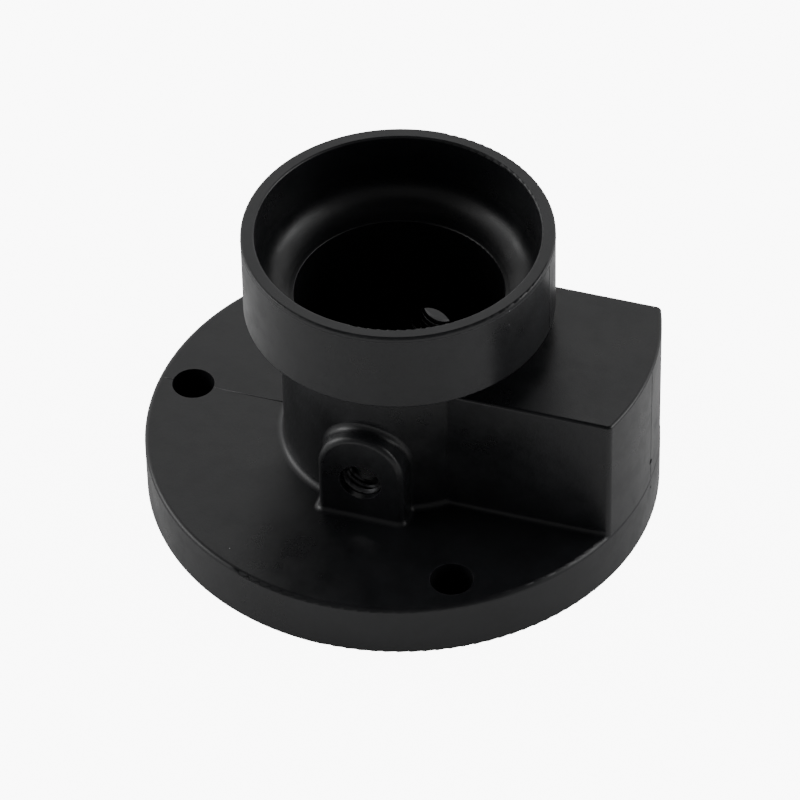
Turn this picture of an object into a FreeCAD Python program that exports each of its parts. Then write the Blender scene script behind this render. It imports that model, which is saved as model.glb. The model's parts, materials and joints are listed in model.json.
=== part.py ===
"""Toilet flange: a moulded disc with a neck, a cup socket, a wedge box and two
threaded bosses, its two wire thread inserts and its base seal.

Origin: centre of the underside.  +Z is up the pipe, +X points to the wedge box,
the threaded bosses face -Y (front) and +Y (rear).  Millimetres and degrees.
"""
import FreeCAD, Part
import math
import os
import re
import Sketcher
from FreeCAD import Rotation, Vector

SIZES = {
    # disc
    "disc_radius": 50.0,
    "disc_thickness": 11.5,
    "disc_edge_round": 0.9,
    "foot_edge_round": 0.4,
    # neck and cup
    "neck_wall": 2.9,
    "neck_foot_round": 1.5,
    "bore_radius": 20.0,
    "bore_lip_round": 0.2,
    "cup_wall": 2.7,
    "cup_inner_radius": 27.0,
    "cup_underside": 44.5,
    "cup_floor": 2.5,
    "cup_corner_round": 6.0,
    "cup_edge_round": 0.5,
    "total_height": 62.2,
    "rim_round": 0.45,
    # wedge box
    "wedge_half_width": 17.65,
    "wedge_height": 39.7,
    "wedge_wall": 3.2,
    "wedge_setback": 0.1,
    "wedge_corner_round": 1.1,
    "hollow_corner_round": 1.0,
    "wedge_top_round": 0.6,
    "wedge_foot_round": 1.0,
    # gates broken off the outer wall
    "gate_depth": 0.6,
    "upper_gate_height": 15.8,
    "upper_gate_radius": 0.45,
    "lower_gate_height": 9.0,
    "lower_gate_radius": 0.3,
    # threaded bosses
    "boss_half_width": 8.5,
    "boss_stand": 3.35,
    "boss_arch_height": 23.3,
    "boss_face_round": 1.1,
    "boss_root_round": 1.2,
    "insert_height": 20.8,
    # wire thread inserts, M8
    "thread_minor_radius": 3.35,
    "insert_outer_radius": 4.15,
    "insert_recess": 0.5,
    # mounting holes
    "hole_inset": 7.15,
    "hole_radius": 4.15,
    "hole_count": 3,
    # cored underside
    "plate_thickness": 3.2,
    "rim_wall": 3.5,
    "land_lip": 1.8,
    "tube_wall": 2.6,
    "rib_thickness": 2.2,
    "rib_count": 10,
    "rib_spacing": 30.0,
    # base seal, an O-ring in a groove of the land
    "seal_section_radius": 1.3,
    "seal_lip": 1.9,
    "seal_side_room": 0.3,
    "seal_clearance": 0.02,
}
DERIVED = {
    "neck_radius": "(bore_radius + neck_wall)",
    "cup_outer_radius": "(cup_inner_radius + cup_wall)",
    "ledge_height": "(cup_underside + cup_floor)",
    "boss_reach": "(bore_radius + neck_wall + boss_stand)",
    "pitch_radius": "(disc_radius - hole_inset)",
    "core_depth": "(disc_thickness - plate_thickness)",
    "core_outer": "(disc_radius - rim_wall)",
    "groove_inner": "(bore_radius + seal_lip)",
    "groove_outer": "(bore_radius + seal_lip + 2 * seal_section_radius + seal_side_room)",
    "land_radius": "(bore_radius + seal_lip + 2 * seal_section_radius + seal_side_room"
                   " + land_lip)",
}
CUT_OVERSHOOT = 1.0
PLANES = {"top": "XY_Plane", "front": "XZ_Plane", "side": "YZ_Plane"}


def sheet(document):
    """Write every driving dimension into a spreadsheet cell with an alias."""
    table = document.addObject("Spreadsheet::Sheet", "sizes")
    for row, (alias, value) in enumerate(SIZES.items(), start=1):
        table.set(f"A{row}", alias)
        table.set(f"B{row}", str(value))
        table.setAlias(f"B{row}", alias)
    return table


def bound(formula):
    """Turn a formula in plain words into one that reads the spreadsheet."""
    for word, meaning in DERIVED.items():
        formula = re.sub(rf"\b{word}\b", meaning, formula)
    for alias in SIZES:
        formula = re.sub(rf"\b{alias}\b", f"sizes.{alias}", formula)
    return formula


def worth(formula):
    """Number that a formula in plain words comes to."""
    table = FreeCAD.ActiveDocument.getObject("sizes")
    return float(table.evalExpression(bound(formula)))


def new_sketch(body, name, plane):
    """Empty sketch on one of the body's own origin planes."""
    sketch = body.newObject("Sketcher::SketchObject", name)
    role = PLANES[plane]
    support = next(item for item in body.Origin.OriginFeatures if item.Role == role)
    sketch.AttachmentSupport = [(support, "")]
    sketch.MapMode = "FlatFace"
    return sketch


def dimension(sketch, kind, geometry, point, expression):
    """Signed distance of a point from the sketch's origin, bound to the sheet."""
    index = sketch.addConstraint(
        Sketcher.Constraint(kind, -1, 1, geometry, point, worth(expression)))
    sketch.setExpression(f"Constraints[{index}]", bound(expression))


def polygon(sketch, corners):
    """Closed outline of straight edges through corners given as formula pairs.

    An edge between two corners that share a formula is held upright or level;
    every other coordinate gets a dimension bound to the spreadsheet.
    """
    spots = [Vector(worth(across), worth(along), 0) for across, along in corners]
    first = sketch.GeometryCount
    count = len(corners)
    for index in range(count):
        sketch.addGeometry(Part.LineSegment(spots[index], spots[(index + 1) % count]))
    for index in range(count):
        following = (index + 1) % count
        sketch.addConstraint(
            Sketcher.Constraint("Coincident", first + index, 2, first + following, 1))
    for axis, kind, level in ((0, "DistanceX", "Vertical"), (1, "DistanceY", "Horizontal")):
        for index in range(count):
            formula = corners[index][axis]
            previous = (index - 1) % count
            if index > 0 and corners[previous][axis] == formula:
                sketch.addConstraint(Sketcher.Constraint(level, first + previous))
            elif index == count - 1 and corners[0][axis] == formula:
                sketch.addConstraint(Sketcher.Constraint(level, first + index))
            elif formula == "0":
                on_axis = -2 if axis == 0 else -1
                sketch.addConstraint(
                    Sketcher.Constraint("PointOnObject", first + index, 1, on_axis))
            else:
                dimension(sketch, kind, first + index, 1, formula)


def circle(sketch, across, along, radius):
    """Circle whose centre and radius are formulas."""
    centre = Vector(worth(across), worth(along), 0)
    index = sketch.addGeometry(Part.Circle(centre, Vector(0, 0, 1), worth(radius)))
    for kind, formula, axis in (("DistanceX", across, -2), ("DistanceY", along, -1)):
        if formula == "0":
            sketch.addConstraint(Sketcher.Constraint("PointOnObject", index, 3, axis))
        else:
            dimension(sketch, kind, index, 3, formula)
    size = sketch.addConstraint(Sketcher.Constraint("Radius", index, worth(radius)))
    sketch.setExpression(f"Constraints[{size}]", bound(radius))


def round_ended_box(sketch, inner, half_width, radius, corner):
    """Outline from an upright inner edge to an arc about the origin.

    Args:
        inner: formula for the inner edge's distance from the origin, or "0".
        half_width: formula for half the outline's width.
        radius: formula for the outer arc's radius.
        corner: formula for the radius of the two outer corners.
    """
    start, half, outer, small = worth(inner), worth(half_width), worth(radius), worth(corner)
    offset = half - small
    reach = math.sqrt((outer - small) ** 2 - offset ** 2)
    swing = math.atan2(offset, reach)
    upward = Vector(0, 0, 1)
    lower_turn = Part.Circle(Vector(reach, -offset, 0), upward, small)
    upper_turn = Part.Circle(Vector(reach, offset, 0), upward, small)
    chain = [
        Part.LineSegment(Vector(start, -half, 0), Vector(reach, -half, 0)),
        Part.ArcOfCircle(lower_turn, -math.pi / 2, -swing),
        Part.ArcOfCircle(Part.Circle(Vector(0, 0, 0), upward, outer), -swing, swing),
        Part.ArcOfCircle(upper_turn, swing, math.pi / 2),
        Part.LineSegment(Vector(reach, half, 0), Vector(start, half, 0)),
        Part.LineSegment(Vector(start, half, 0), Vector(start, -half, 0)),
    ]
    lower, lower_arc, arc, upper_arc, upper, back = (sketch.addGeometry(item) for item in chain)
    for one, other in ((lower, lower_arc), (lower_arc, arc), (arc, upper_arc), (upper_arc, upper)):
        sketch.addConstraint(Sketcher.Constraint("Tangent", one, 2, other, 1))
    for one, other in ((upper, back), (back, lower)):
        sketch.addConstraint(Sketcher.Constraint("Coincident", one, 2, other, 1))
    sketch.addConstraint(Sketcher.Constraint("Coincident", arc, 3, -1, 1))
    for line, kind in ((lower, "Horizontal"), (upper, "Horizontal"), (back, "Vertical")):
        sketch.addConstraint(Sketcher.Constraint(kind, line))
    dimension(sketch, "DistanceY", lower, 1, f"-{half_width}")
    dimension(sketch, "DistanceY", upper, 2, half_width)
    if inner == "0":
        sketch.addConstraint(Sketcher.Constraint("PointOnObject", back, 1, -2))
    else:
        dimension(sketch, "DistanceX", back, 1, inner)
    for item, formula in ((arc, radius), (lower_arc, corner), (upper_arc, corner)):
        size = sketch.addConstraint(Sketcher.Constraint("Radius", item, worth(formula)))
        sketch.setExpression(f"Constraints[{size}]", bound(formula))


def arch(sketch, half_width, foot, spring):
    """Outline with upright sides from foot to spring and a half-round head."""
    half, low, high = worth(half_width), worth(foot), worth(spring)
    full = Part.Circle(Vector(0, high, 0), Vector(0, 0, 1), half)
    right = sketch.addGeometry(Part.LineSegment(Vector(half, low, 0), Vector(half, high, 0)))
    head = sketch.addGeometry(Part.ArcOfCircle(full, 0, math.pi))
    left = sketch.addGeometry(Part.LineSegment(Vector(-half, high, 0), Vector(-half, low, 0)))
    base = sketch.addGeometry(Part.LineSegment(Vector(-half, low, 0), Vector(half, low, 0)))
    for one, end, other, begin in ((left, 2, base, 1), (base, 2, right, 1)):
        sketch.addConstraint(Sketcher.Constraint("Coincident", one, end, other, begin))
    sketch.addConstraint(Sketcher.Constraint("Tangent", right, 2, head, 1))
    sketch.addConstraint(Sketcher.Constraint("Tangent", head, 2, left, 1))
    sketch.addConstraint(Sketcher.Constraint("Vertical", right))
    sketch.addConstraint(Sketcher.Constraint("Horizontal", base))
    sketch.addConstraint(Sketcher.Constraint("PointOnObject", head, 3, -2))
    dimension(sketch, "DistanceY", head, 3, spring)
    dimension(sketch, "DistanceY", base, 1, foot)
    size = sketch.addConstraint(Sketcher.Constraint("Radius", head, half))
    sketch.setExpression(f"Constraints[{size}]", bound(half_width))


def spin(body, name, kind, sketch):
    """Full turn of a sketch about the body's Z axis, added or cut."""
    feature = body.newObject(kind, name)
    feature.Profile = sketch
    axis = next(item for item in body.Origin.OriginFeatures if item.Role == "Z_Axis")
    feature.ReferenceAxis = (axis, [""])
    feature.Angle = 360
    return feature


def push(body, name, kind, sketch, length, upward=True, both_ways=False):
    """Straight pad or pocket of a sketch, its length bound to the sheet."""
    feature = body.newObject(kind, name)
    feature.Profile = sketch
    feature.Type = "Length"
    feature.SideType = "Symmetric" if both_ways else "One side"
    feature.setExpression("Length", bound(length))
    cutting = kind == "PartDesign::Pocket"
    feature.Reversed = (cutting == upward) and not both_ways
    return feature


def ring_of(body, name, original, count, angle):
    """Polar pattern of one feature about Z."""
    pattern = body.newObject("PartDesign::PolarPattern", name)
    pattern.Originals = [original]
    axis = next(item for item in body.Origin.OriginFeatures if item.Role == "Z_Axis")
    pattern.Axis = (axis, [""])
    pattern.setExpression("Occurrences", bound(count))
    pattern.setExpression("Angle", bound(angle))
    body.Tip = pattern
    return pattern


def round_off(document, body, name, radius, wanted):
    """Fillet the edges of the body's present shape that a test picks out."""
    document.recompute()
    base = body.Tip
    names = [f"Edge{index}" for index, edge in enumerate(base.Shape.Edges, start=1)
             if wanted(edge)]
    if not names:
        raise RuntimeError(f"{name}: no edge to round")
    fillet = body.newObject("PartDesign::Fillet", name)
    fillet.Base = (base, names)
    fillet.setExpression("Radius", bound(radius))
    document.recompute()
    return fillet


def near(value, target):
    """True if two lengths agree to a hundredth of a millimetre."""
    return abs(value - target) < 0.01


def ring_test(*rings):
    """Test for full circles about Z, each given as (radius, height) formulas."""
    sizes = [(worth(radius), worth(height)) for radius, height in rings]

    def wanted(edge):
        curve = edge.Curve
        if not isinstance(curve, Part.Circle) or abs(abs(curve.Axis.z) - 1) > 1e-6:
            return False
        middle = curve.Center
        if math.hypot(middle.x, middle.y) > 0.01:
            return False
        return any(near(curve.Radius, radius) and near(middle.z, height)
                   for radius, height in sizes)
    return wanted


def on_neck(edge):
    """True for an edge that runs round the neck."""
    curve = edge.Curve
    return isinstance(curve, Part.Circle) and near(curve.Radius, worth("neck_radius"))


def outer_form(document, body):
    """Disc, neck and cup as one solid of revolution with its round edges."""
    sketch = new_sketch(body, "outer_profile", "front")
    polygon(sketch, [
        ("0", "0"),
        ("disc_radius", "0"),
        ("disc_radius", "disc_thickness"),
        ("neck_radius", "disc_thickness"),
        ("neck_radius", "cup_underside"),
        ("cup_outer_radius", "cup_underside"),
        ("cup_outer_radius", "total_height"),
        ("0", "total_height")])
    spin(body, "outer_form", "PartDesign::Revolution", sketch)
    round_off(document, body, "disc_edge", "disc_edge_round",
              ring_test(("disc_radius", "disc_thickness")))
    round_off(document, body, "neck_foot", "neck_foot_round",
              ring_test(("neck_radius", "disc_thickness")))
    round_off(document, body, "cup_edges", "cup_edge_round",
              ring_test(("cup_outer_radius", "cup_underside"),
                        ("neck_radius", "cup_underside")))


def wedge_box(document, body):
    """Radial box whose outer wall stands just inside the disc's rim."""
    sketch = new_sketch(body, "wedge_outline", "top")
    round_ended_box(sketch, "0", "wedge_half_width", "disc_radius - wedge_setback",
                    "wedge_corner_round")
    push(body, "wedge_box", "PartDesign::Pad", sketch, "wedge_height")
    document.recompute()
    half, top = worth("wedge_half_width"), worth("wedge_height")
    floor = worth("disc_thickness")

    def top_edges(edge):
        bounds = edge.BoundBox
        return near(bounds.ZMin, top) and near(bounds.ZMax, top) and not on_neck(edge)

    def foot_edges(edge):
        bounds = edge.BoundBox
        side = near(abs(bounds.YMin), half) and near(bounds.YMin, bounds.YMax)
        return side and near(bounds.ZMin, floor) and near(bounds.ZMax, floor)
    round_off(document, body, "wedge_top_edges", "wedge_top_round", top_edges)
    round_off(document, body, "wedge_foot_edges", "wedge_foot_round", foot_edges)


def threaded_bosses(document, body):
    """Arched block through the neck that leaves one boss at each side."""
    sketch = new_sketch(body, "boss_arch", "front")
    arch(sketch, "boss_half_width", "disc_thickness - plate_thickness / 2", "boss_arch_height")
    push(body, "boss_block", "PartDesign::Pad", sketch, "2 * boss_reach", both_ways=True)
    document.recompute()
    reach, half = worth("boss_reach"), worth("boss_half_width")
    floor, neck = worth("disc_thickness"), worth("neck_radius")

    def on_face(edge):
        bounds = edge.BoundBox
        return near(abs(bounds.YMin), reach) and near(bounds.YMin, bounds.YMax)

    def face_edges(edge):
        return on_face(edge) and not near(edge.BoundBox.ZMax, floor)

    def foot_edges(edge):
        bounds = edge.BoundBox
        level = near(bounds.ZMin, floor) and near(bounds.ZMax, floor)
        return level and (on_face(edge) or (
            abs(bounds.Center.x) < half + 0.01 and neck < abs(bounds.Center.y) < reach))

    def root_edges(edge):
        bounds = edge.BoundBox
        upright = near(abs(bounds.Center.x), half) and near(bounds.YMin, bounds.YMax)
        return foot_edges(edge) or (upright and abs(bounds.YMin) < neck)
    round_off(document, body, "boss_face_edges", "boss_face_round", face_edges)
    gap = "(sqrt(neck_radius ^ 2 - wedge_half_width ^ 2) - boss_half_width)"
    round_off(document, body, "boss_root_edges", f"min(boss_root_round; 0.4 * {gap})",
              root_edges)


def pipe_way(document, body):
    """Bore, cup floor and cup inside, cut in one turn."""
    sketch = new_sketch(body, "pipe_profile", "front")
    over = CUT_OVERSHOOT
    polygon(sketch, [
        ("0", f"-{over}"),
        ("bore_radius", f"-{over}"),
        ("bore_radius", "ledge_height"),
        ("cup_inner_radius", "ledge_height"),
        ("cup_inner_radius", f"total_height + {over}"),
        ("0", f"total_height + {over}")])
    spin(body, "pipe_way", "PartDesign::Groove", sketch)
    room = "min(0.88 * (cup_inner_radius - bore_radius); 0.6 * (total_height - ledge_height))"
    round_off(document, body, "cup_corner", f"min(cup_corner_round; {room})",
              ring_test(("cup_inner_radius", "ledge_height")))
    round_off(document, body, "bore_lip", "bore_lip_round",
              ring_test(("bore_radius", "ledge_height")))
    round_off(document, body, "rim_edges", "rim_round",
              ring_test(("cup_inner_radius", "total_height"),
                        ("cup_outer_radius", "total_height")))


def cored_underside(document, body):
    """Open ring under the plate with its ribs and bolt tubes, and the wedge's hollow."""
    depth = "core_depth"
    ring = new_sketch(body, "core_profile", "front")
    polygon(ring, [
        ("land_radius", f"-{CUT_OVERSHOOT}"),
        ("core_outer", f"-{CUT_OVERSHOOT}"),
        ("core_outer", depth),
        ("land_radius", depth)])
    spin(body, "core_ring", "PartDesign::Groove", ring)
    document.recompute()

    tube = new_sketch(body, "tube_circle", "top")
    circle(tube, "-pitch_radius", "0", "hole_radius + tube_wall")
    first_tube = push(body, "bolt_tube", "PartDesign::Pad", tube,
                      "disc_thickness - plate_thickness / 2")
    document.recompute()
    ring_of(body, "bolt_tubes", first_tube, "hole_count", "360")
    document.recompute()

    rib = new_sketch(body, "rib_strip", "top")
    rib.AttachmentOffset = FreeCAD.Placement(Vector(0, 0, 0), Rotation(Vector(0, 0, 1), 0))
    rib.setExpression("AttachmentOffset.Rotation.Angle", bound("1.5 * rib_spacing"))
    polygon(rib, [
        ("land_radius - rib_thickness / 2", "-rib_thickness / 2"),
        ("disc_radius - rim_wall / 2", "-rib_thickness / 2"),
        ("disc_radius - rim_wall / 2", "rib_thickness / 2"),
        ("land_radius - rib_thickness / 2", "rib_thickness / 2")])
    first_rib = push(body, "rib", "PartDesign::Pad", rib, "disc_thickness - plate_thickness / 2")
    document.recompute()
    ring_of(body, "ribs", first_rib, "rib_count", "(rib_count - 1) * rib_spacing")
    document.recompute()

    hollow = new_sketch(body, "wedge_hollow_outline", "top")
    round_ended_box(hollow, "land_radius", "(wedge_half_width - wedge_wall)",
                    "core_outer", "hollow_corner_round")
    push(body, "wedge_hollow", "PartDesign::Pocket", hollow, "wedge_height - wedge_wall")
    document.recompute()


def gate_pits(document, body):
    """Two small pits in the outer wall, left where the gates were broken off."""
    pits = new_sketch(body, "gate_pit_circles", "side")
    pits.setExpression("AttachmentOffset.Base.z",
                       bound("disc_radius - wedge_setback - gate_depth"))
    circle(pits, "0", "upper_gate_height", "upper_gate_radius")
    circle(pits, "0", "lower_gate_height", "lower_gate_radius")
    push(body, "gate_pits", "PartDesign::Pocket", pits, f"gate_depth + {CUT_OVERSHOOT}")
    document.recompute()


def drilled_holes(document, body):
    """Mounting holes down the bolt tubes, insert holes and the seal groove."""
    hole = new_sketch(body, "mounting_hole_circle", "top")
    circle(hole, "-pitch_radius", "0", "hole_radius")
    first_hole = push(body, "mounting_hole", "PartDesign::Pocket", hole,
                      f"disc_thickness + {CUT_OVERSHOOT}")
    document.recompute()
    ring_of(body, "mounting_holes", first_hole, "hole_count", "360")
    document.recompute()

    tapped = new_sketch(body, "insert_hole_circle", "front")
    circle(tapped, "0", "insert_height", "insert_outer_radius")
    push(body, "insert_holes", "PartDesign::Pocket", tapped,
         f"2 * (boss_reach + {CUT_OVERSHOOT})", both_ways=True)
    document.recompute()

    groove = new_sketch(body, "seal_groove_profile", "front")
    depth = "2 * (seal_section_radius + seal_clearance)"
    polygon(groove, [
        ("groove_inner", f"-{CUT_OVERSHOOT}"),
        ("groove_outer", f"-{CUT_OVERSHOOT}"),
        ("groove_outer", depth),
        ("groove_inner", depth)])
    spin(body, "seal_groove", "PartDesign::Groove", groove)
    round_off(document, body, "foot_edge", "foot_edge_round",
              ring_test(("disc_radius", "0")))


def flange_body(document):
    """The one-piece moulding."""
    body = document.addObject("PartDesign::Body", "flange_body")
    outer_form(document, body)
    wedge_box(document, body)
    threaded_bosses(document, body)
    pipe_way(document, body)
    cored_underside(document, body)
    gate_pits(document, body)
    drilled_holes(document, body)
    return body


def thread_insert(document, name, side):
    """Sleeve that stands for one wire thread insert, lying along Y."""
    outer = document.addObject("Part::Cylinder", f"{name}_outside")
    inner = document.addObject("Part::Cylinder", f"{name}_inside")
    outer.setExpression("Radius", bound("insert_outer_radius"))
    inner.setExpression("Radius", bound("thread_minor_radius"))
    length = "boss_reach - bore_radius - 2 * insert_recess"
    outer.setExpression("Height", bound(length))
    inner.setExpression("Height", bound(f"{length} + {2 * CUT_OVERSHOOT}"))
    turn = Rotation(Vector(1, 0, 0), -90 * side)
    for cylinder, setback in ((outer, 0.0), (inner, CUT_OVERSHOOT)):
        cylinder.Placement = FreeCAD.Placement(Vector(0, 0, 0), turn)
        cylinder.setExpression(
            "Placement.Base.y", bound(f"{side} * (bore_radius + insert_recess - {setback})"))
        cylinder.setExpression("Placement.Base.z", bound("insert_height"))
    sleeve = document.addObject("Part::Cut", name)
    sleeve.Base = outer
    sleeve.Tool = inner
    return sleeve


def base_seal(document):
    """O-ring that lies in the groove of the underside, level with the foot."""
    ring = document.addObject("Part::Torus", "base_seal")
    ring.setExpression("Radius2", bound("seal_section_radius"))
    ring.setExpression(
        "Radius1", bound("groove_outer - seal_section_radius - seal_clearance"))
    ring.setExpression("Placement.Base.z", bound("seal_section_radius + seal_clearance"))
    return ring


def main():
    """Build the document, check every object and write the STEP files."""
    document = FreeCAD.newDocument("toilet_flange")
    sheet(document)
    document.recompute()
    pieces = [
        flange_body(document),
        thread_insert(document, "front_thread_insert", -1),
        thread_insert(document, "rear_thread_insert", 1),
        base_seal(document),
    ]
    document.recompute()
    for item in document.Objects:
        if "Invalid" in item.State or "Error" in item.State:
            raise RuntimeError(f"{item.Name} failed: {item.State}")
    for piece in pieces:
        shape = piece.Shape
        if shape.isNull() or not shape.isValid() or len(shape.Solids) != 1:
            raise RuntimeError(f"{piece.Name} is not one valid solid")
    os.makedirs("parts", exist_ok=True)
    for piece in pieces:
        piece.Shape.exportStep(os.path.join("parts", f"{piece.Name}.step"))
        bounds = piece.Shape.BoundBox
        print(f"{piece.Name}: {piece.Shape.Volume:.0f} mm3, "
              f"{bounds.XLength:.2f} x {bounds.YLength:.2f} x {bounds.ZLength:.2f} mm")


main()
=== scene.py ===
"""Looks of the toilet flange: its moulded plastic, wire inserts, seal and studio.

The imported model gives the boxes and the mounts, and Moulding keeps the few sizes
of the CAD body that neither of them tells.  Each sub-assembly is a class that works
its meshes out as whole numpy arrays and dresses them in a procedural finish.
"""

import json
import logging
import math
from dataclasses import dataclass, field
from enum import Enum

import bmesh
import bpy
import numpy as np
from mathutils import Matrix, Vector

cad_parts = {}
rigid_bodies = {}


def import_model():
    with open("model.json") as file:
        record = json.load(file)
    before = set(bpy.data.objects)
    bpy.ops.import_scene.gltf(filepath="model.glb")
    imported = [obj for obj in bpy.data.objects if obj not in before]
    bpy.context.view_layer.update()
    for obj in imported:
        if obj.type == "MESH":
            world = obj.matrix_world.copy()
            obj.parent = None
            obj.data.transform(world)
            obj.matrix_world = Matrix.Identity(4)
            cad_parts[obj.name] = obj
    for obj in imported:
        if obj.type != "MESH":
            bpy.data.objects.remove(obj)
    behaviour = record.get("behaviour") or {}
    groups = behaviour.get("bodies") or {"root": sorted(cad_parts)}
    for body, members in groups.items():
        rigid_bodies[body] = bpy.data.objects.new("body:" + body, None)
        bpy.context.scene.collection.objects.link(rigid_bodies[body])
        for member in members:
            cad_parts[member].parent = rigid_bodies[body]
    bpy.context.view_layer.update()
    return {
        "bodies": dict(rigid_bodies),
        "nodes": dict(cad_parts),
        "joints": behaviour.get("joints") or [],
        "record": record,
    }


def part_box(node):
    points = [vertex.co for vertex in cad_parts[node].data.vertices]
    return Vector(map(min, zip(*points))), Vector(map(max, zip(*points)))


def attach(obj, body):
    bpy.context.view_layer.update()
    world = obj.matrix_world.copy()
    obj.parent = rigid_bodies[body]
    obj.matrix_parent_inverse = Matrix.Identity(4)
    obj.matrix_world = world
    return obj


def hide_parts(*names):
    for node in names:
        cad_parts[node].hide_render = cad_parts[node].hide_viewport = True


LOG = logging.getLogger("toilet_flange")
MM = 0.001
BODY = "root"
Colour = tuple[float, float, float, float]
BLACK: Colour = (0.0, 0.0, 0.0, 1.0)


class Slot(Enum):
    """Material slots of the record."""

    PLASTIC = "black_plastic"
    WIRE = "insert_wire"
    RUBBER = "seal_rubber"


class Side(Enum):
    """Which way a threaded boss faces along Y."""

    FRONT = -1
    REAR = 1


# ---------------------------------------------------------------- surfaces


def surface(name: str, grid: np.ndarray, closed_u: bool, closed_v: bool,
            smooth: bool = True) -> bpy.types.Object:
    """Make an object from a two-parameter grid of points.

    The point at row u and column v joins its neighbours in quads; a closed
    parameter wraps round, and an open u end is capped with one face per ring
    when v is closed, so every piece is a closed shell.

    Args:
        name: name of the new object.
        grid: points as an array of shape (rows, columns, 3), in metres.
        closed_u: True if the last row joins the first.
        closed_v: True if the last column joins the first.
        smooth: True for smooth shading.

    Returns:
        The new object, linked to the scene, with its origin at the world's.
    """
    rows, columns = grid.shape[:2]
    index = np.arange(rows * columns).reshape(rows, columns)
    row_next = np.roll(index, -1, axis=0) if closed_u else index[1:]
    row_here = index if closed_u else index[:-1]
    if closed_v:
        corners = (row_here, np.roll(row_here, -1, axis=1),
                   np.roll(row_next, -1, axis=1), row_next)
    else:
        corners = (row_here[:, :-1], row_here[:, 1:], row_next[:, 1:], row_next[:, :-1])
    faces = np.stack([corner.ravel() for corner in corners], axis=1).tolist()
    if closed_v and not closed_u:
        faces += [index[0][::-1].tolist(), index[-1].tolist()]
    mesh = bpy.data.meshes.new(name)
    mesh.from_pydata(grid.reshape(-1, 3).tolist(), [], faces)
    mesh.polygons.foreach_set("use_smooth", np.full(len(mesh.polygons), smooth))
    mesh.validate()
    mesh.update()
    item = bpy.data.objects.new(name, mesh)
    bpy.context.scene.collection.objects.link(item)
    return item


def carried(path: np.ndarray, across: np.ndarray, upward: np.ndarray,
            profile: np.ndarray) -> np.ndarray:
    """Carry a closed profile along a path.

    Each grid point is the path point plus the profile's first coordinate times
    the across direction plus its second times the upward direction.

    Args:
        path: points of the path, shape (rows, 3).
        across: unit vectors across the path, shape (rows, 3).
        upward: unit vectors away from the wall, shape (rows, 3).
        profile: closed outline, shape (columns, 2).

    Returns:
        Grid of shape (rows, columns, 3).
    """
    return (path[:, None, :] + profile[None, :, :1] * across[:, None, :]
            + profile[None, :, 1:] * upward[:, None, :])


def full_turn(steps: int) -> np.ndarray:
    """Angles of a closed ring, in radians, without the repeated last one."""
    return np.linspace(0, 2 * math.pi, steps, endpoint=False)


def half_bead(width: float, height: float, sunk: float, steps: int = 9) -> np.ndarray:
    """Outline of a low bead: half an ellipse over a foot sunk into the wall.

    Args:
        width: full width of the bead in metres.
        height: how far it stands off the wall in metres.
        sunk: depth of its foot below the wall in metres.
        steps: points over the crown.

    Returns:
        Closed outline of shape (steps + 2, 2), anticlockwise.
    """
    angle = np.linspace(0.0, math.pi, steps)
    crown = np.stack([np.cos(angle) * width / 2, np.sin(angle) * height], axis=1)
    foot = np.array([[-width / 2, -sunk], [width / 2, -sunk]])
    return np.concatenate([crown, foot])


# ---------------------------------------------------------------- node groups


class Nodes:
    """Short way to add and join the nodes of one node tree."""

    def __init__(self, tree: bpy.types.NodeTree) -> None:
        """Keep the tree that the nodes go into."""
        self.tree = tree

    def add(self, kind: str, **settings: object) -> bpy.types.Node:
        """Add a node.

        Args:
            kind: Blender's node type name.
            settings: properties to set on the node.

        Returns:
            The new node.
        """
        node = self.tree.nodes.new(kind)
        for key, value in settings.items():
            setattr(node, key, value)
        return node

    def feed(self, socket: bpy.types.NodeSocket, value: object) -> None:
        """Give an input a link, if value is a socket, or else a constant."""
        if isinstance(value, bpy.types.NodeSocket):
            self.tree.links.new(value, socket)
        else:
            socket.default_value = value

    def math(self, operation: str, first: object, second: object = 0.0,
             clamp: bool = False) -> bpy.types.NodeSocket:
        """Result of a Math node on two inputs."""
        node = self.add("ShaderNodeMath", operation=operation, use_clamp=clamp)
        self.feed(node.inputs[0], first)
        self.feed(node.inputs[1], second)
        return node.outputs[0]

    def noise(self, where: object, scale: object, detail: float = 2.0,
              rough: float = 0.5) -> bpy.types.NodeSocket:
        """Value of a Noise Texture at a vector."""
        node = self.add("ShaderNodeTexNoise")
        self.feed(node.inputs["Vector"], where)
        self.feed(node.inputs["Scale"], scale)
        self.feed(node.inputs["Detail"], detail)
        self.feed(node.inputs["Roughness"], rough)
        return node.outputs["Fac"]

    def band(self, value: object, low: float, high: float, start: float = 0.0,
             end: float = 1.0) -> bpy.types.NodeSocket:
        """Smooth step of a value from start at low to end at high."""
        node = self.add("ShaderNodeMapRange", interpolation_type="SMOOTHSTEP", clamp=True)
        for name, number in (("Value", value), ("From Min", low), ("From Max", high),
                             ("To Min", start), ("To Max", end)):
            self.feed(node.inputs[name], number)
        return node.outputs["Result"]

    def mix(self, share: object, first: object, second: object) -> bpy.types.NodeSocket:
        """Colour mixed by share from the first colour to the second."""
        node = self.add("ShaderNodeMix", data_type="RGBA")
        self.feed(node.inputs["Factor"], share)
        self.feed(node.inputs["A"], first)
        self.feed(node.inputs["B"], second)
        return node.outputs["Result"]


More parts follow.
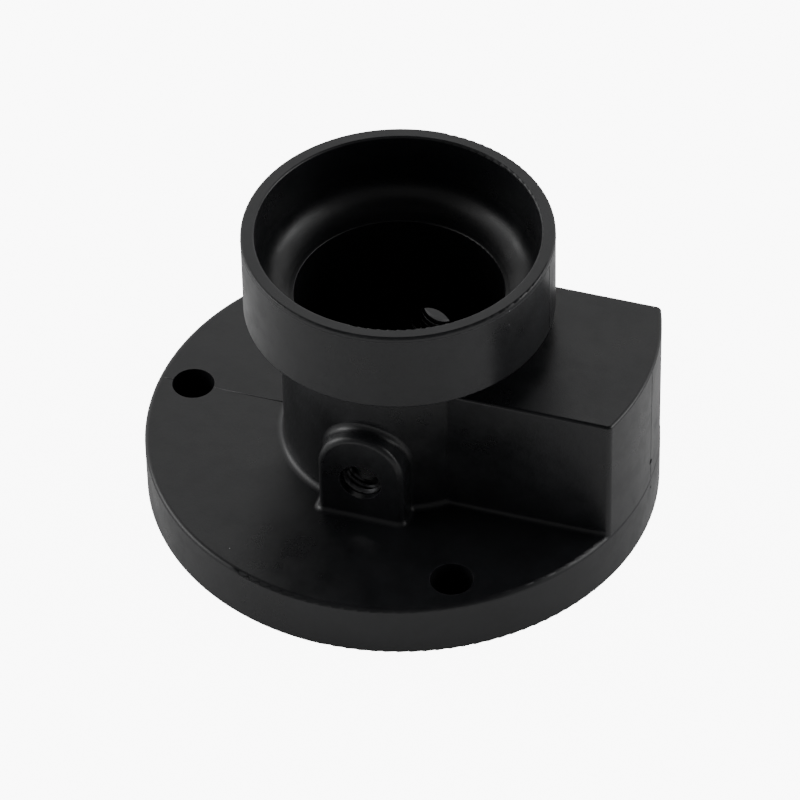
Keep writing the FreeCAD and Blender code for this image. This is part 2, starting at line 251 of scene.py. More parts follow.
class SharedGroup:
    """A shader node group with named inputs and outputs, built once."""

    def __init__(self, name: str, inputs: dict[str, float], outputs: dict[str, str]) -> None:
        """Make the empty group, with an input for the place beside the given ones.

        Args:
            name: name of the group.
            inputs: number inputs with their default values.
            outputs: outputs with their socket kinds, such as Float.
        """
        self.tree = bpy.data.node_groups.new(name, "ShaderNodeTree")
        face = self.tree.interface
        face.new_socket("Place", in_out="INPUT", socket_type="NodeSocketVector")
        for key, value in inputs.items():
            socket = face.new_socket(key, in_out="INPUT", socket_type="NodeSocketFloat")
            socket.default_value = value
        for key, kind in outputs.items():
            face.new_socket(key, in_out="OUTPUT", socket_type=f"NodeSocket{kind}")
        self.nodes = Nodes(self.tree)
        self.start = self.nodes.add("NodeGroupInput").outputs
        self.end = self.nodes.add("NodeGroupOutput").inputs

    def put(self, output: str, value: object) -> None:
        """Join a value to one of the group's outputs."""
        self.nodes.feed(self.end[output], value)


def grain_group() -> bpy.types.NodeTree:
    """Height of a spark-eroded mould surface: fine pits over a slow sink.

    Returns:
        Group with inputs Pit Scale, Pit Depth and Sink Depth, output Height.
    """
    group = SharedGroup("mould_grain",
                        {"Pit Scale": 5200.0, "Pit Depth": 0.5, "Sink Depth": 1.0},
                        {"Height": "Float"})
    nodes, place = group.nodes, group.start["Place"]
    pits = nodes.noise(place, group.start["Pit Scale"], 3.0, 0.6)
    coarse_share, sink_scale = 0.22, 42.0
    coarse = nodes.noise(
        place, nodes.math("MULTIPLY", group.start["Pit Scale"], coarse_share), 2.0)
    sink = nodes.noise(place, sink_scale, 1.0)
    fine = nodes.math("MULTIPLY", nodes.math("ADD", pits, nodes.math("MULTIPLY", coarse, 0.5)),
                      group.start["Pit Depth"])
    group.put("Height", nodes.math("ADD", fine,
                                   nodes.math("MULTIPLY", sink, group.start["Sink Depth"])))
    return group.tree


def smudge_group() -> bpy.types.NodeTree:
    """Soft patches left by handling: a slow noise cut softly at its middle value.

    Returns:
        Group with inputs Size and Sharpness, output Mask.
    """
    group = SharedGroup("handling_smudges", {"Size": 60.0, "Sharpness": 0.12},
                        {"Mask": "Float"})
    nodes, place = group.nodes, group.start["Place"]
    slow = nodes.noise(place, group.start["Size"], 4.0, 0.62)
    middle = 0.52
    low = nodes.math("SUBTRACT", middle, group.start["Sharpness"])
    high = nodes.math("ADD", middle, group.start["Sharpness"])
    group.put("Mask", nodes.band(slow, low, high))
    return group.tree


def dust_group() -> bpy.types.NodeTree:
    """Sparse pale specks: small discs round a few of a Voronoi's cell points.

    Returns:
        Group with inputs Spacing, Speck Size and Share, output Mask.
    """
    group = SharedGroup("dust_specks", {"Spacing": 160.0, "Speck Size": 0.03, "Share": 0.06},
                        {"Mask": "Float"})
    nodes = group.nodes
    cells = nodes.add("ShaderNodeTexVoronoi", feature="F1")
    nodes.feed(cells.inputs["Vector"], group.start["Place"])
    nodes.feed(cells.inputs["Scale"], group.start["Spacing"])
    spot = nodes.math("LESS_THAN", cells.outputs["Distance"], group.start["Speck Size"])
    split = nodes.add("ShaderNodeSeparateColor")
    nodes.feed(split.inputs["Color"], cells.outputs["Color"])
    chosen = nodes.math("LESS_THAN", split.outputs["Red"], group.start["Share"])
    group.put("Mask", nodes.math("MULTIPLY", spot, chosen))
    return group.tree


def scratch_group() -> bpy.types.NodeTree:
    """Hair scratches: thin level lines of a noise stretched along one way.

    Returns:
        Group with inputs Stretch, Width and Amount, output Mask.
    """
    group = SharedGroup("hair_scratches", {"Stretch": 12.0, "Width": 0.006, "Amount": 0.35},
                        {"Mask": "Float"})
    nodes = group.nodes
    turn = nodes.add("ShaderNodeMapping")
    nodes.feed(turn.inputs["Vector"], group.start["Place"])
    turn.inputs["Rotation"].default_value = (0.4, 0.7, 1.1)
    turn.inputs["Scale"].default_value = (0.5, 34.0, 34.0)
    lines = nodes.noise(turn.outputs["Vector"], group.start["Stretch"], 3.0, 0.45)
    off = nodes.math("ABSOLUTE", nodes.math("SUBTRACT", lines, 0.5))
    thin = nodes.math("LESS_THAN", off, group.start["Width"])
    patch_scale = 55.0
    patch = nodes.noise(group.start["Place"], patch_scale, 2.0)
    here = nodes.band(patch, 0.56, 0.7)
    group.put("Mask", nodes.math("MULTIPLY", nodes.math("MULTIPLY", thin, here),
                                 group.start["Amount"]))
    return group.tree


def edge_wear_and_highlight_group() -> bpy.types.NodeTree:
    """Edge wear and painted edge highlight: how far a rounded normal leans away from the true
    one.

    Returns:
        Group with inputs Reach and Break Up, output Mask.
    """
    group = SharedGroup("edge_wear", {"Reach": 0.0005, "Break Up": 0.5}, {"Mask": "Float"})
    nodes = group.nodes
    rounded = nodes.add("ShaderNodeBevel", samples=6)
    nodes.feed(rounded.inputs["Radius"], group.start["Reach"])
    true = nodes.add("ShaderNodeNewGeometry")
    agree = nodes.add("ShaderNodeVectorMath", operation="DOT_PRODUCT")
    nodes.feed(agree.inputs[0], rounded.outputs["Normal"])
    nodes.feed(agree.inputs[1], true.outputs["Normal"])
    lean = nodes.math("SUBTRACT", 1.0, agree.outputs["Value"])
    worn_and_lit = nodes.band(lean, 0.02, 0.2)
    patch_scale = 900.0
    patchy = nodes.band(nodes.noise(group.start["Place"], patch_scale, 3.0), 0.35, 0.65)
    mixed = nodes.math("MULTIPLY", patchy, group.start["Break Up"])
    solid = nodes.math("SUBTRACT", 1.0, group.start["Break Up"])
    group.put("Mask", nodes.math("MULTIPLY", worn_and_lit, nodes.math("ADD", mixed, solid)))
    return group.tree


@dataclass
class Groups:
    """The shared node groups, each built once."""

    grain: bpy.types.NodeTree = field(default_factory=grain_group)
    smudges: bpy.types.NodeTree = field(default_factory=smudge_group)
    dust: bpy.types.NodeTree = field(default_factory=dust_group)
    scratches: bpy.types.NodeTree = field(default_factory=scratch_group)
    # edge mask: partly wear, partly a painted highlight on convex edges
    wear_and_highlight: bpy.types.NodeTree = field(default_factory=edge_wear_and_highlight_group)

    def place(self, nodes: Nodes, tree: bpy.types.NodeTree, place: object,
              **values: float) -> bpy.types.NodeSocket:
        """Put one group into a material.

        Args:
            nodes: the material's nodes.
            tree: the group to place.
            place: socket that gives Object coordinates.
            values: the group's inputs, with _ for a space.

        Returns:
            The group's only output.
        """
        node = nodes.add("ShaderNodeGroup", node_tree=tree)
        nodes.feed(node.inputs["Place"], place)
        for key, value in values.items():
            nodes.feed(node.inputs[key.replace("_", " ")], value)
        return node.outputs[0]


# ---------------------------------------------------------------- finishes


@dataclass(frozen=True)
class Finish:
    """Common part of every finish: a Principled shader with a bumped normal."""

    name: str

    def open(self) -> tuple[bpy.types.Material, Nodes, bpy.types.Node, bpy.types.NodeSocket]:
        """Start the material.

        Returns:
            The material, its nodes, its Principled shader and Object coordinates.
        """
        material = bpy.data.materials.new(self.name)
        material.use_nodes = True
        nodes = Nodes(material.node_tree)
        shader = material.node_tree.nodes["Principled BSDF"]
        place = nodes.add("ShaderNodeTexCoord").outputs["Object"]
        return material, nodes, shader, place

    def bump(self, nodes: Nodes, shader: bpy.types.Node, height: bpy.types.NodeSocket,
             strength: float, distance: float) -> None:
        """Feed a height through a Bump node into the shader's normal."""
        bump = nodes.add("ShaderNodeBump")
        bump.inputs["Strength"].default_value = strength
        bump.inputs["Distance"].default_value = distance
        nodes.feed(bump.inputs["Height"], height)
        nodes.feed(shader.inputs["Normal"], bump.outputs["Normal"])


@dataclass(frozen=True)
class MouldedPlastic(Finish):
    """Satin black plastic with mould grain, smudges, scuffs, dust, and edges lightened partly
    as wear and partly as a painted highlight.
    """

    name: str = "moulded_black_plastic"
    dark: Colour = (0.0078, 0.0082, 0.0094, 1.0)
    light: Colour = (0.0128, 0.0134, 0.0154, 1.0)
    # lighter grey for scratches, and for convex edges as wear and as a painted highlight
    worn_and_lit: Colour = (0.05, 0.051, 0.055, 1.0)
    dust: Colour = (0.42, 0.43, 0.44, 1.0)
    smooth: float = 0.27
    dull: float = 0.4
    specular: float = 0.5

    def make(self, groups: Groups) -> bpy.types.Material:
        """Build the material.

        Args:
            groups: the shared node groups.

        Returns:
            The finished material.
        """
        material, nodes, shader, place = self.open()
        smudge = groups.place(nodes, groups.smudges, place, Size=48.0, Sharpness=0.16)
        haze = groups.place(nodes, groups.smudges, place, Size=210.0, Sharpness=0.1)
        dust = groups.place(nodes, groups.dust, place, Spacing=230.0, Speck_Size=0.024,
                            Share=0.1)
        hair = groups.place(nodes, groups.scratches, place, Stretch=14.0, Width=0.003,
                            Amount=0.05)
        # convex edges take the lighter colour: partly wear, partly a painted highlight of the
        # rounded edges
        wear_and_highlight = groups.place(nodes, groups.wear_and_highlight, place, Reach=0.5 * MM, Break_Up=0.6)
        tone = nodes.mix(smudge, self.dark, self.light)
        scuffed_and_lit = nodes.mix(nodes.math("MULTIPLY", wear_and_highlight, 0.7), tone, self.worn_and_lit)
        marked = nodes.mix(nodes.math("MULTIPLY", hair, 0.6), scuffed_and_lit, self.worn_and_lit)
        nodes.feed(shader.inputs["Base Color"], nodes.mix(dust, marked, self.dust))
        mix = nodes.math("ADD", nodes.math("MULTIPLY", smudge, 0.6),
                         nodes.math("MULTIPLY", haze, 0.4))
        satin = nodes.math("ADD", nodes.math("MULTIPLY", mix, self.dull - self.smooth),
                           self.smooth)
        dusty = nodes.math("ADD", satin, nodes.math("MULTIPLY", dust, 0.4), clamp=True)
        nodes.feed(shader.inputs["Roughness"], dusty)
        shader.inputs["Specular IOR Level"].default_value = self.specular
        shader.inputs["IOR"].default_value = 1.5
        grain = groups.place(nodes, groups.grain, place, Pit_Scale=3600.0, Pit_Depth=0.45,
                             Sink_Depth=0.9)
        cut = nodes.math("SUBTRACT", grain, nodes.math("MULTIPLY", hair, 0.6))
        raised = nodes.math("ADD", cut, nodes.math("MULTIPLY", dust, 0.8))
        self.bump(nodes, shader, raised, 0.55, 0.00006)
        return material


@dataclass(frozen=True)
class RolledWire(Finish):
    """Blackened wire with drawn streaks, rubbed a little brighter in places."""

    name: str = "blackened_wire"
    rubbed: Colour = (0.07, 0.071, 0.074, 1.0)
    black: Colour = (0.014, 0.0142, 0.015, 1.0)

    def make(self, groups: Groups) -> bpy.types.Material:
        """Build the material.

        Args:
            groups: the shared node groups.

        Returns:
            The finished material.
        """
        material, nodes, shader, place = self.open()
        stain = groups.place(nodes, groups.smudges, place, Size=520.0, Sharpness=0.14)
        streak = groups.place(nodes, groups.scratches, place, Stretch=60.0, Width=0.02,
                              Amount=0.8)
        nodes.feed(shader.inputs["Base Color"], nodes.mix(stain, self.rubbed, self.black))
        shader.inputs["Metallic"].default_value = 0.9
        rough = nodes.math("ADD", nodes.math("MULTIPLY", stain, 0.22), 0.3)
        nodes.feed(shader.inputs["Roughness"], rough)
        grain = groups.place(nodes, groups.grain, place, Pit_Scale=9000.0, Pit_Depth=0.5,
                             Sink_Depth=0.2)
        self.bump(nodes, shader, nodes.math("ADD", grain, streak), 0.4, 0.00002)
        return material


@dataclass(frozen=True)
class SealRubber(Finish):
    """Matt black rubber with a bloom of pale powder."""

    name: str = "seal_rubber_matt"
    black: Colour = (0.012, 0.012, 0.0125, 1.0)
    bloom: Colour = (0.045, 0.046, 0.048, 1.0)

    def make(self, groups: Groups) -> bpy.types.Material:
        """Build the material.

        Args:
            groups: the shared node groups.

        Returns:
            The finished material.
        """
        material, nodes, shader, place = self.open()
        powder = groups.place(nodes, groups.smudges, place, Size=150.0, Sharpness=0.15)
        nodes.feed(shader.inputs["Base Color"], nodes.mix(powder, self.black, self.bloom))
        nodes.feed(shader.inputs["Roughness"],
                   nodes.math("ADD", nodes.math("MULTIPLY", powder, 0.2), 0.62))
        grain = groups.place(nodes, groups.grain, place, Pit_Scale=2600.0, Pit_Depth=0.7,
                             Sink_Depth=0.3)
        self.bump(nodes, shader, grain, 0.5, 0.00005)
        return material


@dataclass(frozen=True)
class StudioPaper(Finish):
    """Plain pale paper that glows a little, and looks over-exposed to the camera; within a
    radius of the object's axis it does not glow, as painted shade under the object.
    """

    name: str = "studio_paper"
    pale: Colour = (0.86, 0.86, 0.86, 1.0)
    shade: Colour = (0.83, 0.83, 0.83, 1.0)
    glow: Colour = (1.0, 1.0, 1.0, 1.0)
    glow_strength: float = 9.0
    glow_share: float = 0.022
    # radius about the axis within which the floor does not glow: painted shade under the
    # object
    painted_shade_radius: float = 49.0 * MM

    def make(self, groups: Groups) -> bpy.types.Material:
        """Build the material.

        Args:
            groups: the shared node groups.

        Returns:
            The finished material.
        """
        material, nodes, shader, place = self.open()
        cloud = groups.place(nodes, groups.smudges, place, Size=3.0, Sharpness=0.3)
        nodes.feed(shader.inputs["Base Color"], nodes.mix(cloud, self.pale, self.shade))
        shader.inputs["Roughness"].default_value = 0.9
        # no glow under the object's footprint: painted shade, so the floor seen through the
        # bore stays dark
        reach = nodes.add("ShaderNodeVectorMath", operation="LENGTH")
        nodes.feed(reach.inputs[0], place)
        glow_outside_painted_shade = nodes.math("GREATER_THAN", reach.outputs["Value"], self.painted_shade_radius)
        seen = nodes.add("ShaderNodeLightPath").outputs["Is Camera Ray"]
        level = nodes.band(seen, 0.0, 1.0, self.glow_share, 1.0)
        share = nodes.math("MULTIPLY", glow_outside_painted_shade, level)
        nodes.feed(shader.inputs["Emission Color"], nodes.mix(share, BLACK, self.glow))
        shader.inputs["Emission Strength"].default_value = self.glow_strength
        return material


def dress(item: bpy.types.Object, material: bpy.types.Material) -> None:
    """Give an object one material in place of whatever it has."""
    item.data.materials.clear()
    item.data.materials.append(material)


def settle(item: bpy.types.Object, material: bpy.types.Material) -> None:
    """Dress a new piece and let it ride on the body."""
    dress(item, material)
    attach(item, BODY)
    LOG.info("%s: %d faces", item.name, len(item.data.polygons))


# ---------------------------------------------------------------- sub-assemblies


@dataclass
class WireInsert:
    """Coil of rolled wire that lines one threaded hole, wound about Y."""

    side: Side
    pitch: float = 1.25 * MM
    wall_room: float = 0.02 * MM
    crest_flat: float = 0.14 * MM
    shoulder_share: float = 0.72
    turn_gap: float = 0.06 * MM
    start_angle: float = math.radians(150)
    per_turn: int = 72

    @property
    def node(self) -> str:
        """Name of the CAD sleeve that the coil stands for."""
        return f"{self.side.name.lower()}_thread_insert"

    def profile(self, crest: float, wall: float) -> np.ndarray:
        """Section of the wire as (radius, along the hole) pairs.

        A flat crest with nipped corners faces the hole's axis, two flanks widen
        from it to a shoulder, and a plain back lies on the hole's wall.

        Args:
            crest: radius of the thread's crest.
            wall: radius of the back of the wire.

        Returns:
            Closed outline of shape (8, 2).
        """
        half = (self.pitch - self.turn_gap) / 2
        shoulder = crest + (wall - crest) * self.shoulder_share
        flat = self.crest_flat / 2
        nip = flat * 0.4
        return np.array([
            [crest + nip, -flat], [crest, -nip], [crest, nip],
            [crest + nip, flat], [shoulder, half], [wall, half],
            [wall, -half], [shoulder, -half]])

    def build(self, material: bpy.types.Material, crest: float) -> bpy.types.Object:
        """Wind the coil inside the sleeve's box.

        Args:
            material: finish of the wire.
            crest: radius of the thread's crest in metres.

        Returns:
            The coil, riding on the body in place of the sleeve.
        """
        low, high = (np.array(corner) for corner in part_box(self.node))
        middle = (low + high) / 2
        wall = (high[0] - low[0]) / 2 - self.wall_room
        run = high[1] - low[1] - self.pitch
        turns = run / self.pitch
        steps = int(turns * self.per_turn)
        sweep = np.linspace(0.0, 1.0, steps)
        angle = self.start_angle + self.side.value * 2 * math.pi * turns * sweep
        mouth = middle[1] + self.side.value * run / 2
        along = mouth - self.side.value * run * sweep
        outline = self.profile(crest, wall)
        radius = outline[None, :, 0]
        grid = np.stack([
            middle[0] + radius * np.cos(angle)[:, None],
            along[:, None] + outline[None, :, 1] * np.ones_like(radius),
            middle[2] + radius * np.sin(angle)[:, None]], axis=2)
        coil = surface(f"{self.node}_coil", grid, False, True)
        straighten(coil)
        settle(coil, material)
        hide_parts(self.node)
        return coil


@dataclass
class SealRing:
    """Rubber ring of the underside with its mould flash at half height."""

    flash_height: float = 0.06 * MM
    flash_width: float = 0.16
    around: int = 240
    section: int = 64

    def build(self, material: bpy.types.Material) -> bpy.types.Object:
        """Turn the section about Z.

        The section is a circle less the flash's height, and a narrow bell curve
        of the angle lifts it to full size at half height, inside and outside.

        Args:
            material: finish of the rubber.

        Returns:
            The ring, riding on the body in place of the CAD ring.
        """
        low, high = (np.array(corner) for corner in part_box("base_seal"))
        full = (high[2] - low[2]) / 2
        middle = (high[0] - low[0]) / 2 - full
        turn, angle = full_turn(self.around), full_turn(self.section)
        bell = np.exp(-(np.sin(angle) / self.flash_width) ** 2)
        reach = full - self.flash_height * (1 - bell)
        radius = middle + reach * np.cos(angle)
        grid = np.stack([
            radius[None, :] * np.cos(turn)[:, None],
            radius[None, :] * np.sin(turn)[:, None],
            (low[2] + full) + (reach * np.sin(angle))[None, :] * np.ones((self.around, 1))],
            axis=2)
        ring = surface("base_seal_ring", grid, True, True)
        straighten(ring)
        settle(ring, material)
        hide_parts("base_seal")
        return ring


def straighten(item: bpy.types.Object) -> None:
    """Turn every face of a closed shell outwards."""
    mesh = bmesh.new()
    mesh.from_mesh(item.data)
    bmesh.ops.remove_doubles(mesh, verts=mesh.verts, dist=1e-8)
    bmesh.ops.recalc_face_normals(mesh, faces=mesh.faces)
    mesh.to_mesh(item.data)
    mesh.free()


@dataclass
class Moulding:
    """The one-piece body: its sizes, its finish and the marks of its mould.

    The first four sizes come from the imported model.  Those from disc_top to
    plate_underside repeat the CAD's, and the rest belong to the marks.
    """

    disc_radius: float
    height: float
    pitch_radius: float
    hole_radius: float
    disc_top: float = 11.5 * MM
    edge_round: float = 0.9 * MM
    neck_radius: float = 22.9 * MM
    neck_round: float = 1.5 * MM
    cup_radius: float = 29.7 * MM
    cup_underside: float = 44.5 * MM
    cup_edge_round: float = 0.5 * MM
    wedge_setback: float = 0.1 * MM
    wedge_wall_top: float = 39.1 * MM
    gate_height: float = 15.8 * MM
    gate_radius: float = 0.45 * MM
    plate_underside: float = 8.3 * MM
    flash_width: float = 0.22 * MM
    flash_height: float = 0.045 * MM
    split_depth: float = 1.15 * MM
    split_share: float = 0.6
    sunk: float = 0.05 * MM
    lip_clearance: float = 0.3 * MM
    lip_offset: float = 0.12 * MM
    lip_width: float = 0.16 * MM
    lip_height: float = 0.08 * MM
    lip_wander: float = 0.06
    lip_seed: int = 5
    pin_radius: float = 2.2 * MM
    pin_width: float = 0.2 * MM
    pin_height: float = 0.07 * MM
    pin_degrees: tuple[int, ...] = (75, 105, 135, 225, 255, 285)

    def strip(self, name: str, points: np.ndarray, upward: np.ndarray, across: np.ndarray,
              width: float, height: float) -> bpy.types.Object:
        """Low bead along a path, sunk a little into the wall.

        Args:
            name: name of the piece.
            points: path on the wall, shape (rows, 3).
            upward: unit vectors off the wall, shape (rows, 3).
            across: unit vectors across the path, shape (rows, 3).
            width: width of the bead.
            height: height of the bead.

        Returns:
            The bead.
        """
        grid = carried(points, across, upward, half_bead(width, height, self.sunk))
        bead = surface(name, grid, False, True)
        straighten(bead)
        return bead

    def seam_path(self, corners: list[tuple[float, float]]) -> tuple[np.ndarray, np.ndarray]:
        """Path in the plane y = 0 with the wall's outward direction at each point.

        Args:
            corners: (x, z) points; the outward side is to the left of travel.

        Returns:
            Points and outward unit vectors, each of shape (rows, 3).
        """
        flat = np.array(corners)
        step = np.gradient(flat, axis=0)
        step /= np.linalg.norm(step, axis=1, keepdims=True)
        zero = np.zeros(len(flat))
        points = np.stack([flat[:, 0], zero, flat[:, 1]], axis=1)
        outward = np.stack([-step[:, 1], zero, step[:, 0]], axis=1)
        return points, outward

    def seams(self) -> list[bpy.types.Object]:
        """Flash lines left where the two halves of the mould met, in the plane y = 0."""
        inner = self.pitch_radius - self.hole_radius
        outer = self.pitch_radius + self.hole_radius
        top, edge = self.disc_top, self.disc_radius - self.edge_round
        wall = self.disc_radius - self.wedge_setback
        neck, cup = self.neck_radius, self.cup_radius
        cup_low = self.cup_underside + self.cup_edge_round
        cup_high = self.height - self.split_depth
        clear = self.gate_radius + self.lip_clearance
        runs = {
            "seam_disc_left": [(-inner, top), (-neck - self.neck_round, top)],
            "seam_disc_edge_left": [(-edge, top), (-outer, top)],
            "seam_neck_left": [(-neck, top + self.neck_round), (-neck, self.cup_underside)],
            "seam_cup_left": [(-cup, cup_low), (-cup, cup_high)],
            "seam_cup_right": [(cup, cup_high), (cup, cup_low)],
            "seam_wedge_upper": [(wall, self.wedge_wall_top),
                                 (wall, self.gate_height + clear)],
            "seam_wedge_lower": [(wall, self.gate_height - clear), (wall, top)],
        }
        beads = []
        for name, corners in runs.items():
            points, outward = self.seam_path(corners)
            across = np.tile([0.0, 1.0, 0.0], (len(points), 1))
            beads.append(self.strip(name, points, outward, across, self.flash_width,
                                    self.flash_height))
        return beads

    def split_ring(self) -> bpy.types.Object:
        """Faint split line round the cup just under its rim."""
        turn = full_turn(360)
        outward = np.stack([np.cos(turn), np.sin(turn), np.zeros_like(turn)], axis=1)
        points = outward * self.cup_radius
        points[:, 2] = self.height - self.split_depth
        across = np.tile([0.0, 0.0, 1.0], (len(turn), 1))
        grid = carried(points, across, outward,
                       half_bead(self.flash_width, self.flash_height * self.split_share,
                                 self.sunk))
        ring = surface("split_line_cup", grid, True, True)
        straighten(ring)
        return ring

    def lip(self, name: str, centre: tuple[float, float, float],
            frame: tuple[Vector, Vector, Vector], radius: float, width: float,
            height: float, wander: float = 0.0) -> bpy.types.Object:
        """Low bead carried round a circle on a wall, even or ragged.

        The circle's radius is multiplied by one plus a sum of five cosines of
        multiples of the angle, each with a random size and phase.

        Args:
            name: name of the piece.
            centre: middle of the circle on the wall.
            frame: two unit vectors in the wall and the wall's outward one.
            radius: radius of the circle.
            width: width of the bead.
            height: height of the bead.
            wander: greatest share by which one cosine moves the radius.

        Returns:
            The ring.
        """
        random = np.random.default_rng(self.lip_seed)
        one, two, out = (np.array(vector) for vector in frame)
        turn = full_turn(72)
        waves = sum(random.uniform(-wander, wander)
                    * np.cos(order * turn + random.uniform(0, 6)) for order in range(2, 7))
        spoke = np.cos(turn)[:, None] * one + np.sin(turn)[:, None] * two
        points = np.array(centre) + spoke * radius * (1 + waves[:, None])
        upward = np.tile(out, (len(turn), 1))
        grid = carried(points, spoke, upward, half_bead(width, height, self.sunk))
        item = surface(name, grid, True, True)
        straighten(item)
        return item

    def gate_lip(self) -> bpy.types.Object:
        """Ragged lip about the pit of the upper gate, on the wedge box's outer wall."""
        centre = (self.disc_radius - self.wedge_setback, 0.0, self.gate_height)
        frame = (Vector((0, 1, 0)), Vector((0, 0, 1)), Vector((1, 0, 0)))
        return self.lip("gate_lip", centre, frame, self.gate_radius + self.lip_offset,
                        self.lip_width, self.lip_height, self.lip_wander)

    def ejector_marks(self) -> list[bpy.types.Object]:
        """Witness rings of the ejector pins on the underside of the plate."""
        marks = []
        frame = (Vector((1, 0, 0)), Vector((0, -1, 0)), Vector((0, 0, -1)))
        ring_radius = (self.pitch_radius + self.neck_radius + self.neck_round) / 2
        for count, degrees in enumerate(self.pin_degrees, start=1):
            angle = math.radians(degrees)
            centre = (ring_radius * math.cos(angle), ring_radius * math.sin(angle),
                      self.plate_underside)
            marks.append(self.lip(f"ejector_mark_{count}", centre, frame, self.pin_radius,
                                  self.pin_width, self.pin_height))
        return marks

    def build(self, body: bpy.types.Object, material: bpy.types.Material) -> None:
        """Dress the CAD body and add the marks of its mould.

        Args:
            body: the CAD node of the moulding.
            material: finish of the plastic.
        """
        dress(body, material)
        LOG.info("%s: dressed, %d faces", body.name, len(body.data.polygons))
        for mark in (*self.seams(), self.split_ring(), self.gate_lip(),
                     *self.ejector_marks()):
            settle(mark, material)


# ---------------------------------------------------------------- studio


@dataclass(frozen=True)
class SoftBox:
    """Rectangular area light placed round the object by azimuth and elevation."""

    name: str
    azimuth: float
    elevation: float
    distance: float
    width: float
    height: float
    power: float
    colour: tuple[float, float, float] = (1.0, 1.0, 1.0)


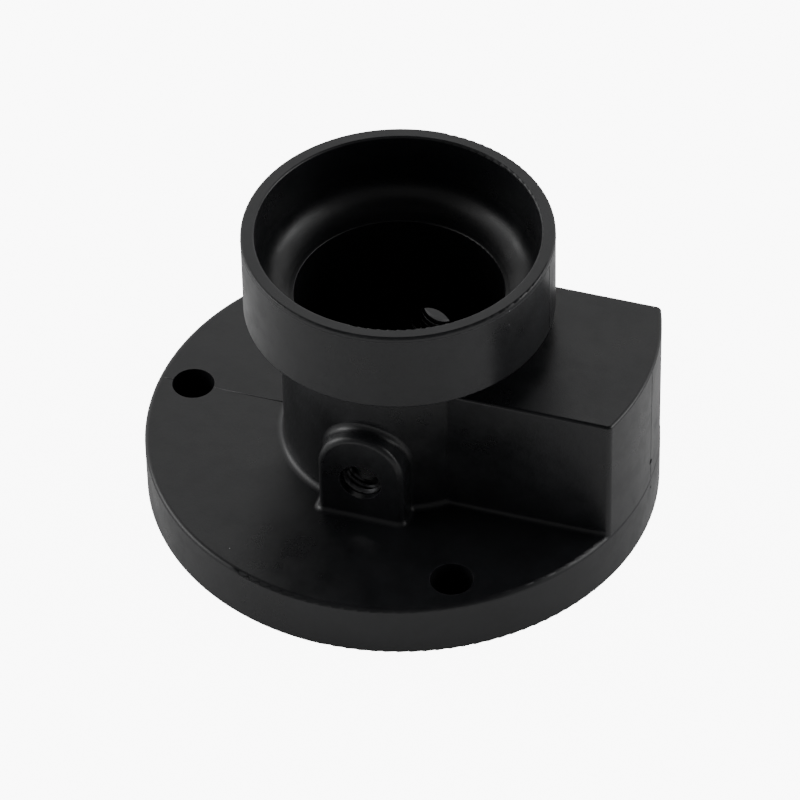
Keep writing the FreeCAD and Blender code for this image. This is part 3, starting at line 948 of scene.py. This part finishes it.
@dataclass
class Studio:
    """Pale floor, soft boxes, graded surround and camera."""

    target: Vector
    camera_azimuth: float = 18.39
    camera_elevation: float = 43.3
    camera_roll: float = -1.314
    camera_distance: float = 1.1
    camera_lens: float = 257.13
    aim_right: float = -0.28 * MM
    aim_up: float = -2.88 * MM
    surround: float = 1.06
    front_share: float = 0.15
    front_elevation: float = 20.0
    floor_reach: float = 3.0
    overhead: float = 0.04
    bright_below: float = 46.0
    dark_above: float = 58.0
    boxes: tuple[SoftBox, ...] = (
        SoftBox("left_side", -85, 20, 0.8, 0.5, 0.4, 1.4),
        SoftBox("right_side", 110, 20, 0.8, 0.5, 0.4, 1.4),
    )

    def direction(self, azimuth: float, elevation: float) -> Vector:
        """Unit vector from the object; azimuth 0 is towards -Y and 90 towards +X."""
        turn, lift = math.radians(azimuth), math.radians(elevation)
        return Vector((math.sin(turn) * math.cos(lift), -math.cos(turn) * math.cos(lift),
                       math.sin(lift)))

    def camera(self) -> bpy.types.Object:
        """Camera that looks down at the object from the front right."""
        turn, lift = math.radians(self.camera_azimuth), math.radians(self.camera_elevation)
        back = self.direction(self.camera_azimuth, self.camera_elevation)
        right = Vector((math.cos(turn), math.sin(turn), 0))
        upward = back.cross(right)
        roll = math.radians(self.camera_roll)
        across = right * math.cos(roll) + upward * math.sin(roll)
        above = upward * math.cos(roll) - right * math.sin(roll)
        place = self.target + back * self.camera_distance
        aim = self.target + across * self.aim_right + above * self.aim_up
        away = (place - aim).normalized()
        across = (across - away * across.dot(away)).normalized()
        lens = bpy.data.cameras.new("camera")
        lens.lens, lens.sensor_width = self.camera_lens, 36.0
        lens.clip_start, lens.clip_end = 0.05, 20.0
        item = bpy.data.objects.new("camera", lens)
        axes = Matrix((across, away.cross(across), away)).transposed()
        item.matrix_world = Matrix.Translation(place) @ axes.to_4x4()
        bpy.context.scene.collection.objects.link(item)
        bpy.context.scene.camera = item
        LOG.info("camera: lift %.1f degrees", math.degrees(lift))
        return item

    def light(self, box: SoftBox) -> bpy.types.Object:
        """Area light for one soft box, turned to face the object."""
        data = bpy.data.lights.new(box.name, "AREA")
        data.shape = "RECTANGLE"
        data.size, data.size_y = box.width, box.height
        data.energy, data.color = box.power, box.colour
        item = bpy.data.objects.new(box.name, data)
        away = self.direction(box.azimuth, box.elevation)
        item.location = self.target + away * box.distance
        item.rotation_euler = away.to_track_quat("Z", "Y").to_euler()
        bpy.context.scene.collection.objects.link(item)
        return item

    def floor(self, material: bpy.types.Material) -> bpy.types.Object:
        """Pale floor: a level grid at the object's foot."""
        span = np.linspace(-self.floor_reach, self.floor_reach, 9)
        across, along = np.meshgrid(span, span, indexing="ij")
        grid = np.stack([across, along, np.zeros_like(across)], axis=2)
        item = surface("floor", grid, False, False)
        dress(item, material)
        return item

    def world(self) -> None:
        """Surround pale at the back and sides up to half height, dim elsewhere."""
        world = bpy.data.worlds.new("surround")
        world.use_nodes = True
        nodes = Nodes(world.node_tree)
        shade = world.node_tree.nodes["Background"]
        split = nodes.add("ShaderNodeSeparateXYZ")
        where = nodes.add("ShaderNodeTexCoord").outputs["Object"]
        nodes.feed(split.inputs[0], where)
        low = math.sin(math.radians(self.bright_below))
        high = math.sin(math.radians(self.dark_above))
        level = nodes.band(split.outputs["Z"], low, high, self.surround, self.overhead)
        ahead = nodes.add("ShaderNodeVectorMath", operation="DOT_PRODUCT")
        nodes.feed(ahead.inputs[0], where)
        ahead.inputs[1].default_value = self.direction(self.camera_azimuth,
                                                      self.front_elevation)
        front = nodes.band(ahead.outputs["Value"], 0.25, 0.7, 1.0, self.front_share)
        nodes.feed(shade.inputs["Color"], nodes.math("MULTIPLY", level, front))
        shade.inputs["Strength"].default_value = 1.0
        bpy.context.scene.world = world

    def build(self, material: bpy.types.Material) -> None:
        """Set the whole studio up."""
        self.camera()
        self.world()
        self.floor(material)
        for box in self.boxes:
            self.light(box)


# ---------------------------------------------------------------- main


def mount_size(record: dict, name: str, key: str) -> float:
    """One dimension of a mount, in metres.

    Args:
        record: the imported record.
        name: the mount's name.
        key: the dimension's key, in millimetres there.

    Returns:
        The dimension in metres.
    """
    mount = next(item for item in record["mounts"] if item["name"] == name)
    return mount["dims"][key] * MM


def moulding(record: dict) -> Moulding:
    """Moulding sized from the CAD body's box and the record's mounts."""
    low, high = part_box("flange_body")
    return Moulding(
        disc_radius=(high[1] - low[1]) / 2, height=high[2],
        pitch_radius=mount_size(record, "floor_screws", "pcd_mm") / 2,
        hole_radius=mount_size(record, "floor_screws", "hole_r_mm"))


def main() -> None:
    """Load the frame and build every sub-assembly in order."""
    logging.basicConfig(level=logging.INFO, format="%(name)s: %(message)s")
    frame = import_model()
    record = frame["record"]
    groups = Groups()
    Studio(target=Vector((0.0, 0.0, 22.5 * MM))).build(StudioPaper().make(groups))
    moulding(record).build(frame["nodes"]["flange_body"], MouldedPlastic().make(groups))
    wire = RolledWire().make(groups)
    for side in Side:
        crest = mount_size(record, f"{side.name.lower()}_thread", "r_mm")
        WireInsert(side).build(wire, crest)
    SealRing().build(SealRubber().make(groups))


if __name__ == "__main__":
    main()
